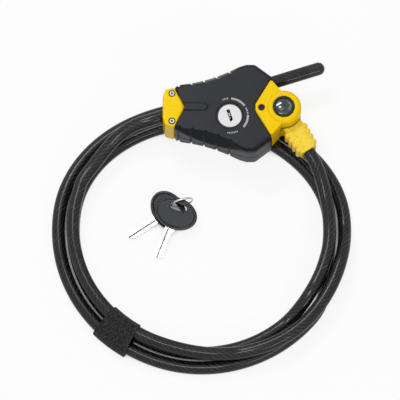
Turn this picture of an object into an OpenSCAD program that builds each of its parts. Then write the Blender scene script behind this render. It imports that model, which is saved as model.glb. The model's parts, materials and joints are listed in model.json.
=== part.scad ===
// Adjustable keyed cable lock: a two-shell lock body, a coiled steel cable that runs through it,
// and a pair of keys. Millimetres. X runs along the lock body, Z out of the key face.
// The origin is on the flat back face, behind the key cylinder's axis.

/* [Lock body] */
// Thickness of the body, back face to key face
body_t = 32; // [31:0.5:32]
// Distance of the body's centre line from the key cylinder's axis
centre_y = 6.8; // [6.4:0.4:7.2]
// From the key axis to the left end of the grip jackets
jacket_left = 40.5; // [40:0.5:41]
// Half width of the jackets at their left end
left_half = 16.7; // [16.5:0.1:17]
// Half width of the body at its widest
apex_half = 33.6; // [33.6:0.4:34]
// Where the widest stretch starts, to the right of the key axis
apex_from = 12; // [11.5:0.5:12.5]
// Where the widest stretch ends
apex_to = 18.5; // [18:0.5:19]
// Where the sloping shoulder meets the right end
shoulder_x = 31.5; // [31:0.5:32]
// Half width at the foot of the shoulder
shoulder_half = 23.6; // [23.6:0.4:24]
// Corner radius of the body's outline
corner_r = 4; // [3.5:0.5:4.5]
// How far the rolled edges draw in towards the faces
roll_in = 3.4; // [3.2:0.2:3.6]
// Height over which the edges roll
roll_h = 6; // [5.5:0.5:6.5]

/* [Grip jackets] */
// Wall of the two grip jackets
jacket_wall = 2.2; // [2.1:0.1:2.3]
// Depth of the thumb scallop along each long edge
scallop_d = 5.2; // [5:0.2:5.4]
// Height over which the scallop runs out
scallop_h = 12; // [11.5:0.5:12.5]
// Length of the scallop
scallop_l = 56; // [55:1:57]
// From the jackets' left end to the first grip groove
groove_from = 3.2; // [2.5:0.1:5]
// Number of grip grooves on each long edge
grooves = 5; // [3:1:6]
// Distance from groove to groove
groove_step = 9.2; // [9:0.2:9.4]
// Width of a grip groove
groove_w = 1.4; // [1.3:0.1:1.5]
// Depth of a grip groove
groove_d = 1.1; // [1:0.1:1.2]
// Width of the raised rib on the key face
rib_w = 5.4; // [5.2:0.2:5.6]
// Height of the rib above the face
rib_h = 0.9; // [0.8:0.1:1]
// Distance of the rib's round end from the key axis
rib_end = 16.3; // [16:0.1:17]
// Running gap between shells and what they cover
fit_gap = 0.1; // [0.1:0.02:0.12]

/* [Yellow ends] */
// How far the yellow faces lie below the jackets' faces
end_drop = 0.9; // [0.8:0.1:1]
// From the key axis to the cable entry face of the cap
cap_end = 48.7; // [48.7:0.2:48.9]
// Half width of the cap
cap_half = 15.4; // [14.8:0.1:16]
// From the key axis to the tip of the left V
left_v = 32.6; // [31.5:0.2:34]
// From the key axis to the blunt tip of the right V
right_v = 18.2; // [17.6:0.2:19]
// Half width of the right V's blunt tip
right_v_half = 2.5; // [1.5:0.5:3]
// Half width of the right end at its corners
right_half = 21.8; // [21.4:0.4:21.8]
// From the key axis to the swivel boss
boss_x = 39.1; // [38.9:0.2:39.3]
// Radius of the swivel boss
boss_r = 12.8; // [12.7:0.1:12.9]
// Chamfer on the boss's rims
boss_chamfer = 2; // [1.8:0.2:2.2]
// How far the boss's face stands above the yellow faces
boss_rise = 1.6; // [0.4:0.2:2]
// Radius of the badge recess in the boss
badge_r = 7.8; // [7.7:0.1:7.9]
// Depth of the badge recess
badge_d = 1.2; // [1.1:0.1:1.3]

/* [Fasteners] */
// Distance between the two cap rivets
rivet_pitch = 21; // [20:0.5:21.5]
// From the key axis to the rivets
rivet_x = 41.9; // [41.6:0.1:42.4]
// Radius of a rivet's head
rivet_head_r = 2.4; // [2:0.1:2.6]
// Radius of a rivet's shank
rivet_r = 1.6; // [1.2:0.1:1.8]
// From the key axis to the body screw
screw_x = 23; // [22.6:0.1:23.6]
// Radius of the body screw's head
screw_head_r = 2.4; // [2:0.1:2.6]
// Radius of the body screw's shank
screw_r = 1.5; // [1.2:0.1:1.7]

/* [Key cylinder] */
// Radius of the plug's bright face
plug_face_r = 8.7; // [8.3:0.1:8.9]
// Height of the plug's face above the key face
plug_proud = 0.5; // [0:0.1:0.8]
// Radius of the plug's barrel
plug_r = 6.4; // [6:0.1:6.6]
// Radial running gap round the plug
plug_gap = 0.06; // [0.04:0.01:0.09]
// Radius of the cylinder body round the plug
cylinder_r = 9.3; // [8.8:0.1:9.4]
// How far the pin housing reaches from the key axis
housing_reach = 17.6; // [17:0.2:18]
// Width of the pin housing
housing_w = 8; // [6:0.5:9]
// Number of pin stacks
pins = 5; // [3:1:5]
// Distance from pin to pin
pin_step = 3.2; // [3:0.1:3.3]
// Radius of a pin
pin_r = 1.25; // [1:0.05:1.3]
// Length of a driver pin
driver_l = 3.2; // [2.5:0.1:4]
// Length of the keyway
keyway_l = 9.2; // [8.4:0.2:10]
// Width of the keyway
keyway_w = 2.4; // [2.3:0.1:3]
// Width of the black bezel round the plug's face
bezel_w = 0.95; // [0.8:0.05:1.1]

/* [Release mechanism] */
// Travel of the wedge over a quarter turn of the key
wedge_travel = 3; // [2:0.1:3.2]
// Angle of the ramp behind the wedge
ramp_a = 10; // [8:0.5:11]
// Length of the wedge
wedge_l = 15; // [13:0.5:16]
// Thickness of the wedge at its thin end
wedge_thin = 5.2; // [4.6:0.1:5.6]
// Height of the wedge's jaw
wedge_h = 12; // [10:0.5:12.5]
// Radius of the release cam's round side
cam_r = 6; // [5:0.2:6.2]
// Thickness of the release cam
cam_t = 3.4; // [2.6:0.2:3.5]
// Number of turns of the wedge spring
spring_turns = 4; // [3:1:5]

/* [Cable] */
// Diameter of the cable over its vinyl sleeve
cable_d = 9.5; // [9.1:0.1:9.9]
// Radial gap of the cable in its channel
channel_gap = 0.35; // [0.3:0.05:0.5]
// Distance of the channel's axis from the key axis
channel_off = 19.4; // [19.36:0.04:19.44]
// Length of the free end beyond the channel's foot point
tail_reach = 79; // [72:1:95]
// Length of the end cap on the cable's free end
tip_l = 12; // [10:0.5:16]
// Gap between strands that lie beside or on each other
strand_gap = 0.65; // [0.6:0.05:0.75]

/* [Coil] */
// Mean radius of the coil
coil_r = 98.7; // [98:0.1:99.4]
// How far the strands draw in to pass under the lock
draw_in = 10.8; // [10.4:0.1:11.2]
// Where the strap lies round the coil, in degrees clockwise from the top
strap_at = 217.5; // [205:0.5:225]

/* [Strain relief] */
// Distance of the boot's end face from the swivel pin
boot_reach = 34.5; // [34:0.5:37]
// Half width of the boot at the boss, without ribs
boot_half = 7.6; // [7:0.1:8]
// Half width of the boot at its end, without ribs
boot_end_half = 6.4; // [6.2:0.1:6.8]
// Running gap between the boot and the boss
boot_gap = 0.7; // [0.4:0.1:1]
// Number of ribs on each side of the boot
boot_ribs = 4; // [3:1:5]
// Radius of a boot rib
boot_rib_r = 2; // [1.6:0.1:2.2]
// Radius of the swivel pin
swivel_r = 3; // [2.5:0.1:3.4]
// Angle through which the boot swivels towards the body
swing_in = 6; // [2:1:7]
// Angle through which the boot swivels away from the body
swing_out = 18; // [10:1:25]

/* [Strap] */
// Width of the hook-and-loop strap
strap_w = 25; // [20:1:30]
// Thickness of the strap
strap_t = 1.2; // [1:0.1:1.4]

/* [Keys] */
// Width of a key's head
key_head_w = 32; // [28:1:34]
// Height of a key's head
key_head_h = 23.5; // [21:0.5:25]
// Thickness of a key's head
key_head_t = 2.8; // [2.6:0.1:3.2]
// Depth of the dish in both sides of a key's head
key_dish = 0.5; // [0.2:0.1:0.6]
// Length of the slot in a key's head
key_slot_l = 13; // [12:0.5:14]
// Width of the slot in a key's head
key_slot_w = 4.8; // [4.4:0.2:5.4]
// Distance of the slot from the middle of the head
key_slot_x = 5; // [4.6:0.2:5.4]
// Length of a key's blade beyond its head
key_blade_l = 23.5; // [20:1:27]
// Width of a key's blade
key_blade_w = 7.4; // [6.4:0.2:8.2]
// Thickness of a key's blade
key_blade_t = 2.1; // [1.8:0.1:2.2]
// Wire diameter of the key ring
ring_wire = 1.4; // [1.2:0.1:1.5]
// Radius of the key ring, to the middle of its wire
ring_r = 8; // [7.8:0.1:8.6]

/* [Hidden] */

$fn = 48;
eps = 0.02;
big = 200;
mid_z = body_t / 2;
end_top = body_t - end_drop;
boss_top = end_top + boss_rise;

// The cable channel: its direction, and the bore that the cable runs in.
channel_a = 17.8;
bore_r = cable_d / 2 + channel_gap;
mouth_t = -cap_end / cos(channel_a) + 6.4;

// The V-shaped edges between jackets and yellow ends: how they slope, and the gap along them.
corner_x = 29.7;
left_slope = (jacket_left - 0.2 - left_v) / 15.5;
right_slope = (corner_x - right_v) / (right_half - right_v_half);
v_gap = fit_gap + 0.05;

// How far the rims of the cap and of the right end roll in.
cap_roll = 1.2;
right_roll = 0.9;

// The slope of the long edges, which the scallops and grooves follow.
flank_a = atan2(apex_half - left_half, apex_from + jacket_left);
scallop_x = (apex_from - jacket_left) / 2;
arc_r = (pow(scallop_l / 2, 2) + scallop_d * scallop_d) / (2 * scallop_d);

// The scallops end a little outside the flank.
clear_of_flank = 0.3;

// How far the scallop cuts in where it passes x, at a depth s below the face.
function dip(x, s) = let (d = (x - scallop_x) / cos(flank_a),
                          r = arc_r - (scallop_d + clear_of_flank) * s / scallop_h)
    max(0, sqrt(r * r - d * d) - arc_r + scallop_d);

// How far a groove at x cuts in: through the rolled rim at the face, and its own depth below.
function groove_at(x, s) = s == 0 ? max(dip(x, 0) + groove_d, roll_in + 0.6)
                                  : max(dip(x, s), s < roll_h ? 0.5 : 0) + groove_d;

// The core block under the jackets.
core_in = jacket_wall + fit_gap;
core_low = jacket_wall + fit_gap;
core_top = body_t - core_low;

// Heights of the key cylinder and the release mechanism, from the back.
screw_z = 3.9;
cam_z = 5.5;
clip_z = cam_z + cam_t + 0.15;
clip_t = 0.9;
cylinder_z = clip_z + clip_t + 0.15;
first_pin_z = cylinder_z + 2.2;

// The plug's foot: the neck under the clip, the square that drives the cam, and the cam's screw.
neck_r = 4.4;
clip_r = 7.6;
drive = 5.2;
drive_gap = 0.05;
cam_screw_r = 1.25;
cam_screw_head_r = 2.8;
cam_screw_slot = 0.8;

// The wedge, in the channel's own directions.
wedge_from = 14;
jaw_m = channel_off - cable_d / 2 - 0.12;
ramp_rise = wedge_travel * cos(ramp_a);
tooth = 0.8;

// The floor, and the height of a strand's centre above it. The strands are cut flat underneath.
flat_cut = cable_d / 10;
rest_h = cable_d / 2 - flat_cut;
floor_z = -(rest_h + cable_d / 2 + 0.05);
lane = cable_d + 1.4;
stack = cable_d + strand_gap;

// The coil: its centre, and where it starts and ends in degrees clockwise from its top.
coil_c = [-20.5, -75];
coil_from = 105;
coil_to = 1005;
coil_step = 15;

// Which way the boot points.
boot_a = -58;

// Where the strands change lanes and layers, in degrees along the coil, clockwise from its top.
out_lane = [455, 490];
in_lane = [850, 920];
down_layer = [118, 142];
up_layer = [806, 828];

// The run from the coil up to the cap, between the coil's end and the straight entry.
run_in_route = [[-99, -29.5, 6], [-84, -11.5, 9.5], [-71, -2.5, 13.5]];
// The lead from the boot down to the coil, between the straight exit and the coil's start.
lead_route = [[65, -35, 11.5], [69, -47, 7.5], [71.8, -60, 5.3], [72.9, -75, 5.1]];

// Where the ring's wire passes through both heads, which way it and the keys point, how the keys
// lie, and where the wire sits in each slot.
ring_at = [-41, -57.7];
ring_dir = 15;
key_a_dir = -112;
key_b_dir = -146.8;
key_a_tilt = 11;
key_b_tilt = 3;
key_b_lift = ring_wire + 0.7;
key_a_lift = 7.9;
key_a_slot = [0.3, 4.2];
key_b_slot = [-0.5, 0.6];

// The tang, which is the thin part of a key's blade inside its head, and where the blade starts.
tang_t = key_head_t - 2 * key_dish - 0.8;
tang_half = key_blade_w / 2 - 0.5;
blade_root = key_head_h / 2 - 1.6;

function smooth(t) = let (c = min(1, max(0, t))) c * c * (3 - 2 * c);
function over(a, span) = smooth((a - span[0]) / (span[1] - span[0]));
function unit(v) = v / norm(v);
function wrapped(a) = let (m = a - 360 * floor(a / 360)) m > 180 ? m - 360 : m;

// How far the strands draw in near the top, at an angle from the top.
function drawn(p) = -draw_in * (1 - (p > 0 ? smooth((p - 30) / 56) : smooth((-p - 12) / 70)));
function lane_at(a) = -0.5 + over(a, out_lane) - over(a, in_lane);
function layer_at(a) = 1 - over(a, down_layer) + over(a, up_layer);
function strap_lift(a) = (strap_t + 0.2) * (1 - smooth((abs(wrapped(a - strap_at)) - 7.5) / 30));

// A strand on top dips into the groove between the two strands under it.
function nest(u) = sqrt(stack * stack - pow(lane / 2 - min(lane / 2, abs(u)), 2));
function coil_point(a) =
    let (u = lane * lane_at(a), r = coil_r + drawn(wrapped(a)) + u,
         h = rest_h + layer_at(a) * nest(u) + strap_lift(a))
    [coil_c[0] + r * sin(a), coil_c[1] + r * cos(a), floor_z + h];

// The channel's frame: t along the channel, m across it from the key axis, z up.
function in_channel(t, m) = [t * cos(channel_a) - m * sin(channel_a),
                             t * sin(channel_a) + m * cos(channel_a), mid_z];

// Centres of the rings of each stretch of cable.
coil_path = [for (a = [coil_from : coil_step : coil_to]) coil_point(a)];
coil_start = coil_path[0];
coil_end = coil_path[len(coil_path) - 1];
start_dir = unit(coil_path[1] - coil_start);
end_dir = unit(coil_end - coil_path[len(coil_path) - 2]);
boss_c = [boss_x, centre_y];
boot_dir = [cos(boot_a), sin(boot_a), 0];
boot_exit = [boss_c[0], boss_c[1], mid_z] + boot_reach * boot_dir;
lead_path = concat(
    [boot_exit + 0.05 * boot_dir, boot_exit + cable_d * boot_dir],
    lead_route,
    [coil_start - cable_d * start_dir, coil_start]);
entry = in_channel(mouth_t, channel_off);
channel_dir = [cos(channel_a), sin(channel_a), 0];
run_in_path = concat(
    [coil_end, coil_end + cable_d * end_dir],
    run_in_route,
    [entry - 12 * channel_dir, entry, entry + 10 * channel_dir]);
tail_from = mouth_t + 10.3;

// A tube of n sides along a path, cut flat at the lowest height it may reach.
function side_at(d) = unit(cross(d, [0, 0, 1]));
function dir_at(p, i) = i == 0 ? unit(p[1] - p[0])
                      : i == len(p) - 1 ? unit(p[i] - p[i - 1])
                      : unit(unit(p[i + 1] - p[i]) + unit(p[i] - p[i - 1]));
module tube(path, r, n, lowest) {
    rings = [for (i = [0 : len(path) - 1])
        let (d = dir_at(path, i), s = side_at(d), up = cross(s, d))
        for (k = [0 : n - 1])
            let (a = 360 * k / n, q = path[i] + r * (cos(a) * s + sin(a) * up))
            [q[0], q[1], max(q[2], lowest)]];
    last = (len(path) - 1) * n;
    walls = [for (i = [0 : len(path) - 2], k = [0 : n - 1])
        let (p = i * n + k, q = i * n + (k + 1) % n)
        each [[p, p + n, q], [q, p + n, q + n]]];
    caps = concat([for (k = [1 : n - 2]) [0, k, k + 1]],
                  [for (k = [1 : n - 2]) [last, last + k + 1, last + k]]);
    polyhedron(points = rings, faces = concat(walls, caps), convexity = 10);
}

// The least gap between strands, measured on points along the coil and printed.
coil_samples = [for (i = [0 : len(coil_path) - 2], f = [0, 1 / 3, 2 / 3])
    coil_path[i] * (1 - f) + coil_path[i + 1] * f];
function least(v) = min(v);
coil_gap = least([for (i = [0 : len(coil_samples) - 1])
    least(concat([big], [for (j = [i + 30 : 1 : len(coil_samples) - 1])
        norm(coil_samples[i] - coil_samples[j])]))]) - cable_d;
echo(least_gap_between_strands = coil_gap);

// ---- outlines ----
module body_outline(inset) {
    half = [[-jacket_left, left_half], [apex_from, apex_half], [apex_to, apex_half],
            [shoulder_x, shoulder_half]];
    flipped = [for (i = [3 : -1 : 0]) [half[i][0], -half[i][1]]];
    translate([0, centre_y])
        offset(delta = -inset) offset(r = corner_r, $fn = 24) offset(delta = -corner_r)
            polygon(concat(half, flipped));
}

// The jackets lie between the two V-shaped edges of the yellow ends.
module jacket_region() {
    reach = 40;
    left = left_v + reach * left_slope;
    right = right_v + (reach - right_v_half) * right_slope;
    translate([0, centre_y])
        offset(r = -2, $fn = 24) offset(r = 2, $fn = 24)
            polygon([[-left, -reach], [-left_v, 0], [-left, reach], [right, reach],
                     [right_v, right_v_half], [right_v, -right_v_half], [right, -reach]]);
}

module cap_outline(inset) {
    foot = left_v + v_gap + cap_half * left_slope;
    translate([0, centre_y])
        offset(delta = -inset) offset(r = 2, $fn = 24) offset(delta = -2)
            polygon([[-left_v - v_gap, 0], [-foot, cap_half], [-cap_end + 1.8, cap_half - 1.8],
                     [-cap_end, 8], [-cap_end, -8], [-cap_end + 1.8, -cap_half + 1.8],
                     [-foot, -cap_half]]);
}

module right_outline(inset) {
    translate([0, centre_y])
        offset(delta = -inset) offset(r = 1.5, $fn = 16) offset(delta = -1.5)
            polygon([[right_v + v_gap, right_v_half], [corner_x + v_gap, right_half],
                     [boss_x - 1.2, boss_r - 0.5], [boss_x - 1.2, 0.5 - boss_r],
                     [corner_x + v_gap, -right_half], [right_v + v_gap, -right_v_half]]);
}

// A block between two heights whose rims roll in by the given amount. The outline is the child
// module's, drawn in by its own inset.
module rolled(from, to, roll, drop, which) {
    hull()
        for (a = [0 : 30 : 90], side = [0, 1]) {
            inset = roll * (1 - sin(a));
            z = side == 0 ? from + drop * (1 - cos(a)) : to - drop * (1 - cos(a)) - eps;
            translate([0, 0, z]) linear_extrude(eps) {
                if (which == 0) body_outline(inset);
                if (which == 1) cap_outline(inset);
                if (which == 2) right_outline(inset);
            }
        }
}

// The thumb scallops: cones that cut the front and back rims of both long edges.
module scallops(grow) {
    edge = (left_half + apex_half) / 2;
    for (side = [-1, 1], back = [0, 1])
        translate([0, centre_y, mid_z]) mirror([0, side < 0 ? 1 : 0, 0]) mirror([0, 0, back])
            translate([scallop_x, edge, 0]) rotate(flank_a)
                translate([0, arc_r - scallop_d, body_t / 2 - scallop_h])
                    cylinder(h = scallop_h + eps, r1 = arc_r - scallop_d + grow - clear_of_flank,
                             r2 = arc_r + grow, $fn = 180);
}

// ---- frames and cuts ----
module channel_frame() { rotate(channel_a) children(); }
module boss_frame() { translate([boss_x, centre_y, 0]) children(); }
module boot_frame() { translate([boss_x, centre_y, mid_z]) rotate(boot_a) children(); }
module along_t() { translate([0, channel_off, mid_z]) rotate([0, 90, 0]) children(); }

module channel_bore(r, from, to) {
    channel_frame() along_t() translate([0, 0, from]) cylinder(h = to - from, r = r);
}

module upper_half() {
    translate([-big / 2, -big / 2, mid_z]) cube([big, big, body_t]);
}
module lower_half() {
    translate([-big / 2, -big / 2, mid_z - body_t]) cube([big, big, body_t]);
}

module rivet_places() {
    for (s = [-1, 1]) translate([-rivet_x, centre_y + s * rivet_pitch / 2, 0]) children();
}
module screw_place() { translate([screw_x, centre_y, 0]) children(); }

// The ramp line behind the wedge, and the wedge's own outline in the channel's frame.
function ramp_m(t) = jaw_m - wedge_thin - (t - wedge_from) * tan(ramp_a);
wedge_to = wedge_from + wedge_l;
arm_face = cam_r + fit_gap;
arm_outline = [[arm_face, -1], [arm_face, 5], [10, 9], [wedge_from, jaw_m - tooth],
               [wedge_from + 6, jaw_m - tooth], [wedge_from + 6, ramp_m(wedge_from + 6)],
               [12.5, -1]];

module wedge_pocket() {
    reach = wedge_to + ramp_rise + 0.3;
    drop = 0.12;
    translate([0, 0, mid_z - wedge_h / 2 - 0.15])
        linear_extrude(wedge_h + 0.3)
            polygon([[wedge_from - 0.2, ramp_m(wedge_from - 0.2) - drop],
                     [wedge_from - 0.2, channel_off - bore_r / 2],
                     [reach, channel_off - bore_r / 2], [reach, ramp_m(reach) - drop]]);
}

module arm_pocket() {
    room = 0.3;
    translate([0, 0, cam_z - 0.15])
        linear_extrude(mid_z - wedge_h / 2 - cam_z + 0.3)
            offset(delta = room)
                hull() {
                    polygon(arm_outline);
                    translate([ramp_rise, -wedge_travel * sin(ramp_a)]) polygon(arm_outline);
                }
}

spring_m = (jaw_m + ramp_m(wedge_to)) / 2;
spring_r = 2.2;
spring_from = wedge_to + 0.3;
spring_to = wedge_to + 7;
module spring_pocket() {
    translate([wedge_to, spring_m, mid_z]) rotate([0, 90, 0])
        cylinder(h = spring_to - wedge_to + 0.2, r = spring_r + 0.9);
}

// The slot in the boss through which the cable's eye swings.
module swing_slot() {
    spread = asin((eye_w / 2 + 0.6) / (eye_r + 0.4));
    from = boot_a - swing_in - spread;
    to = boot_a + swing_out + spread;
    reach = 40;
    high = cable_d / 2 + 0.7;
    steps = 6;
    boss_frame() translate([0, 0, mid_z - high])
        linear_extrude(2 * high)
            polygon(concat([[0, 0]],
                [for (i = [0 : steps]) let (a = from + (to - from) * i / steps)
                    reach * [cos(a), sin(a)]]));
    boss_frame() translate([0, 0, mid_z - high]) cylinder(h = 2 * high, r = eye_r + 0.6);
}
eye_r = 7.4;
eye_t = 9;
eye_w = 8;

// Half heights of the boot at the boss and at its end, and of the straight part of its ribs.
boot_high = 7.2;
boot_end_high = 6.3;
boot_rib_high = 4.6;

module core_cuts() {
    channel_bore(bore_r, -70, 60);
    translate([0, 0, cam_z - 0.15]) cylinder(h = big, r = cylinder_r + fit_gap);
    translate([0, 0, screw_z - 0.1]) cylinder(h = 3, r = cam_screw_head_r + 0.4);
    channel_frame() {
        translate([-housing_w / 2 - fit_gap, -housing_reach - fit_gap, cylinder_z - fit_gap])
            cube([housing_w + 2 * fit_gap, housing_reach, housing_top - cylinder_z + 2 * fit_gap]);
        wedge_pocket();
        arm_pocket();
        spring_pocket();
        intersection() {
            along_t() translate([0, 0, saddle_from - 0.1])
                cylinder(h = saddle_to - saddle_from + 0.2, r = saddle_r + fit_gap);
            translate([0, channel_off + saddle_lift - 0.1, 0]) cube([big / 4, 20, big / 4]);
        }
    }
    swing_slot();
    boss_frame() {
        translate([0, 0, 3.8]) cylinder(h = body_t - 7.6, r = swivel_r + 0.02);
        translate([0, 0, boss_top - badge_d]) cylinder(h = 5, r = badge_r + fit_gap);
    }
    rivet_places() {
        translate([0, 0, -eps]) cylinder(h = body_t + 1, r = rivet_r + 0.02);
        for (z = [end_drop - eps, end_top - 1.3]) translate([0, 0, z])
            cylinder(h = 1.3 + eps, r = rivet_head_r + fit_gap);
    }
    screw_place() {
        translate([0, 0, 4]) cylinder(h = body_t, r = screw_r + 0.02);
        translate([0, 0, end_top - 2.2]) cylinder(h = 5, r = screw_head_r + fit_gap);
    }
}

saddle_from = 12;
saddle_to = 31;
saddle_r = bore_r + 2;
saddle_lift = 1.5;

module boss_body() {
    c = boss_chamfer;
    boss_frame() translate([0, 0, end_drop])
        rotate_extrude($fn = 96)
            polygon([[0, 0], [boss_r - c, 0], [boss_r, c], [boss_r, boss_top - end_drop - c],
                     [boss_r - c, boss_top - end_drop], [0, boss_top - end_drop]]);
}

module core_block(grow) {
    difference() {
        hull()
            for (s = [[core_low - grow, core_in + 2], [core_low + 4, core_in],
                      [core_top - 4, core_in], [core_top + grow - eps, core_in + 2]])
                translate([0, 0, s[0]]) linear_extrude(eps) body_outline(s[1] - grow);
        scallops(jacket_wall + fit_gap - grow);
    }
}

module core() {
    difference() {
        union() {
            core_block(0);
            rolled(end_drop, end_top, cap_roll, cap_roll + 0.3, 1);
            rolled(end_drop, end_top, right_roll, right_roll + 0.2, 2);
            boss_body();
            cap_ridge();
        }
        core_cuts();
    }
}

// The ridge on the cap that lines up with the jacket's rib.
module cap_ridge() {
    intersection() {
        translate([-cap_end + 1.6, centre_y, end_top - 2]) rotate([0, 90, 0])
            cylinder(h = cap_end - left_v - 4, r = 2.4);
        upper_half();
    }
}

module core_front() { color("gold") intersection() { core(); upper_half(); } }
module core_rear() { color("gold") intersection() { core(); lower_half(); } }

// ---- jackets ----
// The grooves run over the flanks and follow the scallops and the rolled rims up to both faces.
module grip_grooves() {
    for (s = [-1, 1], i = [0 : grooves - 1]) {
        x = -jacket_left + groove_from + i * groove_step;
        y = left_half + (x + jacket_left) * tan(flank_a);
        depths = [for (k = [0 : 4]) groove_at(x, k * scallop_h / 4)];
        low = [for (k = [0 : 4]) [k * scallop_h / 4, -depths[k]]];
        high = [for (k = [4 : -1 : 0]) [body_t - k * scallop_h / 4, -depths[k]]];
        translate([0, centre_y, 0]) mirror([0, s < 0 ? 1 : 0, 0])
            translate([x, y, 0]) rotate(flank_a) translate([groove_w / 2, 0, 0])
                rotate([0, -90, 0]) linear_extrude(groove_w)
                    polygon(concat([[-1, 3], [-1, -depths[0]]], low, high,
                                   [[body_t + 1, -depths[0]], [body_t + 1, 3]]));
    }
}

module jacket() {
    difference() {
        intersection() {
            rolled(0, body_t, roll_in, roll_h, 0);
            linear_extrude(body_t) jacket_region();
        }
        scallops(0);
        core_block(fit_gap);
        channel_bore(bore_r + 0.3, 0, 60);
        grip_grooves();
    }
}

module rib_stadium(w, h) {
    translate([-jacket_left + 2, centre_y - w / 2, body_t])
        cube([jacket_left - 2 - rib_end - w / 2, w, h]);
    translate([-rib_end - w / 2, centre_y, body_t]) cylinder(h = h, r = w / 2);
}

module jacket_front() {
    color("dimgray")
        intersection() {
            union() {
                difference() {
                    intersection() { jacket(); upper_half(); }
                    cylinder(h = big, r = bezel_r + fit_gap);
                    translate([0, 0, -0.5]) rib_stadium(rib_w + 1.4, 1);
                }
                translate([0, 0, -0.5 - eps]) rib_stadium(rib_w, 0.5 + rib_h);
            }
            translate([0, 0, 0]) linear_extrude(body_t + 5) jacket_region();
        }
}

module jacket_rear() { color("dimgray") intersection() { jacket(); lower_half(); } }

// ---- fasteners ----
module cap_rivets() {
    color("silver")
        rivet_places() {
            translate([0, 0, end_drop + 1.2]) cylinder(h = end_top - end_drop - 2.4, r = rivet_r);
            for (z = [end_drop + 0.2, end_top - 1.2]) translate([0, 0, z])
                difference() {
                    cylinder(h = 1, r = rivet_head_r);
                    translate([0, 0, z > mid_z ? 0.5 : -eps]) cylinder(h = 0.5 + eps, r = 0.9);
                }
        }
}

module body_screw() {
    color("dimgray")
        screw_place() {
            translate([0, 0, 4.5]) cylinder(h = end_top - 6.6, r = screw_r);
            translate([0, 0, end_top - 2.1])
                difference() {
                    cylinder(h = 1.6, r = screw_head_r);
                    for (a = [0, 60, 120]) translate([0, 0, 0.7]) rotate(a)
                        translate([-screw_head_r * 0.6, -0.4, 0])
                            cube([screw_head_r * 1.2, 0.8, 2]);
                }
        }
}

// ---- key cylinder ----
bezel_r = plug_face_r + 0.15 + bezel_w;
head_z = core_top + 0.1;
housing_foot = sqrt(cylinder_r * cylinder_r - housing_w * housing_w / 4);
housing_top = first_pin_z + (pins - 1) * pin_step + pin_r + 0.9;
shear_r = plug_r + plug_gap;
function pin_z(i) = first_pin_z + i * pin_step;
function key_pin_l(i) = 2.4 + [0.9, 0.2, 1.2, 0.5, 0.8][i];

module cylinder_body() {
    color("darkgray")
        difference() {
            translate([0, 0, cylinder_z]) linear_extrude(core_top - cylinder_z)
                offset(r = -0.3, $fn = 24) offset(delta = 0.3) {
                    circle(r = cylinder_r, $fn = 96);
                    channel_frame() translate([-housing_w / 2, -housing_reach])
                        square([housing_w, housing_reach]);
                }
            channel_frame() translate([-housing_w, -housing_reach - 1, housing_top])
                cube([2 * housing_w, housing_reach + 1.1 - housing_foot, big]);
            translate([0, 0, cylinder_z - 1]) cylinder(h = big, r = shear_r);
            channel_frame() for (i = [0 : pins - 1])
                translate([0, -shear_r + 1, pin_z(i)]) rotate([90, 0, 0])
                    cylinder(h = housing_reach - shear_r, r = pin_r + 0.08);
        }
}

module keyway(w, l) {
    channel_frame() translate([-w / 2, -l / 2, cylinder_z + 1.2]) cube([w, l, big]);
}

module plug() {
    color("gainsboro")
        difference() {
            union() {
                translate([0, 0, cylinder_z]) cylinder(h = head_z - cylinder_z + 0.5, r = plug_r);
                translate([0, 0, head_z])
                    cylinder(h = body_t + plug_proud - head_z - 0.4, r = plug_face_r);
                translate([0, 0, body_t + plug_proud - 0.4 - eps])
                    cylinder(h = 0.4 + eps, r1 = plug_face_r, r2 = plug_face_r - 0.4);
                translate([0, 0, clip_z - 0.15]) cylinder(h = clip_t + 0.6, r = neck_r);
                translate([-drive / 2, -drive / 2, cam_z]) cube([drive, drive, cam_t + 0.2]);
            }
            keyway(keyway_w, keyway_l);
            translate([0, 0, cam_z - 1]) cylinder(h = 5, r = cam_screw_r + eps);
            channel_frame() for (i = [0 : pins - 1])
                translate([0, -keyway_l / 2 + 2, pin_z(i)]) rotate([90, 0, 0])
                    cylinder(h = plug_r, r = pin_r + 0.08);
        }
}

module key_pins() {
    color("goldenrod")
        channel_frame() for (i = [0 : pins - 1])
            translate([0, -plug_r + 0.2, pin_z(i)]) rotate([-90, 0, 0]) {
                cylinder(h = key_pin_l(i) - 0.6, r = pin_r);
                translate([0, 0, key_pin_l(i) - 0.6 - eps]) cylinder(h = 0.6, r1 = pin_r, r2 = 0.6);
            }
}

module driver_pins() {
    color("lightgray")
        channel_frame() for (i = [0 : pins - 1])
            translate([0, -shear_r - 0.06, pin_z(i)]) rotate([90, 0, 0])
                cylinder(h = driver_l, r = pin_r);
}

// A helical spring along +Z, ground flat at neither end.
module spring(r, wire_r, length, turns) {
    steps = 8;
    n = turns * steps;
    sides = 5;
    path = [for (i = [0 : n]) let (a = 360 * i / steps)
        [r * cos(a), r * sin(a), wire_r + (length - 2 * wire_r) * i / n]];
    rings = [for (i = [0 : n]) let (a = 360 * i / steps)
        for (k = [0 : sides - 1]) let (b = 360 * k / sides)
            path[i] + wire_r * (cos(b) * [cos(a), sin(a), 0] + [0, 0, sin(b)])];
    last = n * sides;
    walls = [for (i = [0 : n - 1], k = [0 : sides - 1])
        let (p = i * sides + k, q = i * sides + (k + 1) % sides)
        each [[p, p + sides, q], [q, p + sides, q + sides]]];
    caps = concat([for (k = [1 : sides - 2]) [0, k, k + 1]],
                  [for (k = [1 : sides - 2]) [last, last + k + 1, last + k]]);
    polyhedron(points = rings, faces = concat(walls, caps), convexity = 10);
}

module pin_springs() {
    from = shear_r + 0.06 + driver_l + 0.05;
    color("lightsteelblue")
        channel_frame() for (i = [0 : pins - 1])
            translate([0, -from, pin_z(i)]) rotate([90, 0, 0])
                spring(pin_r - 0.3, 0.2, housing_reach - 1.1 - from, 4);
}

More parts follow.
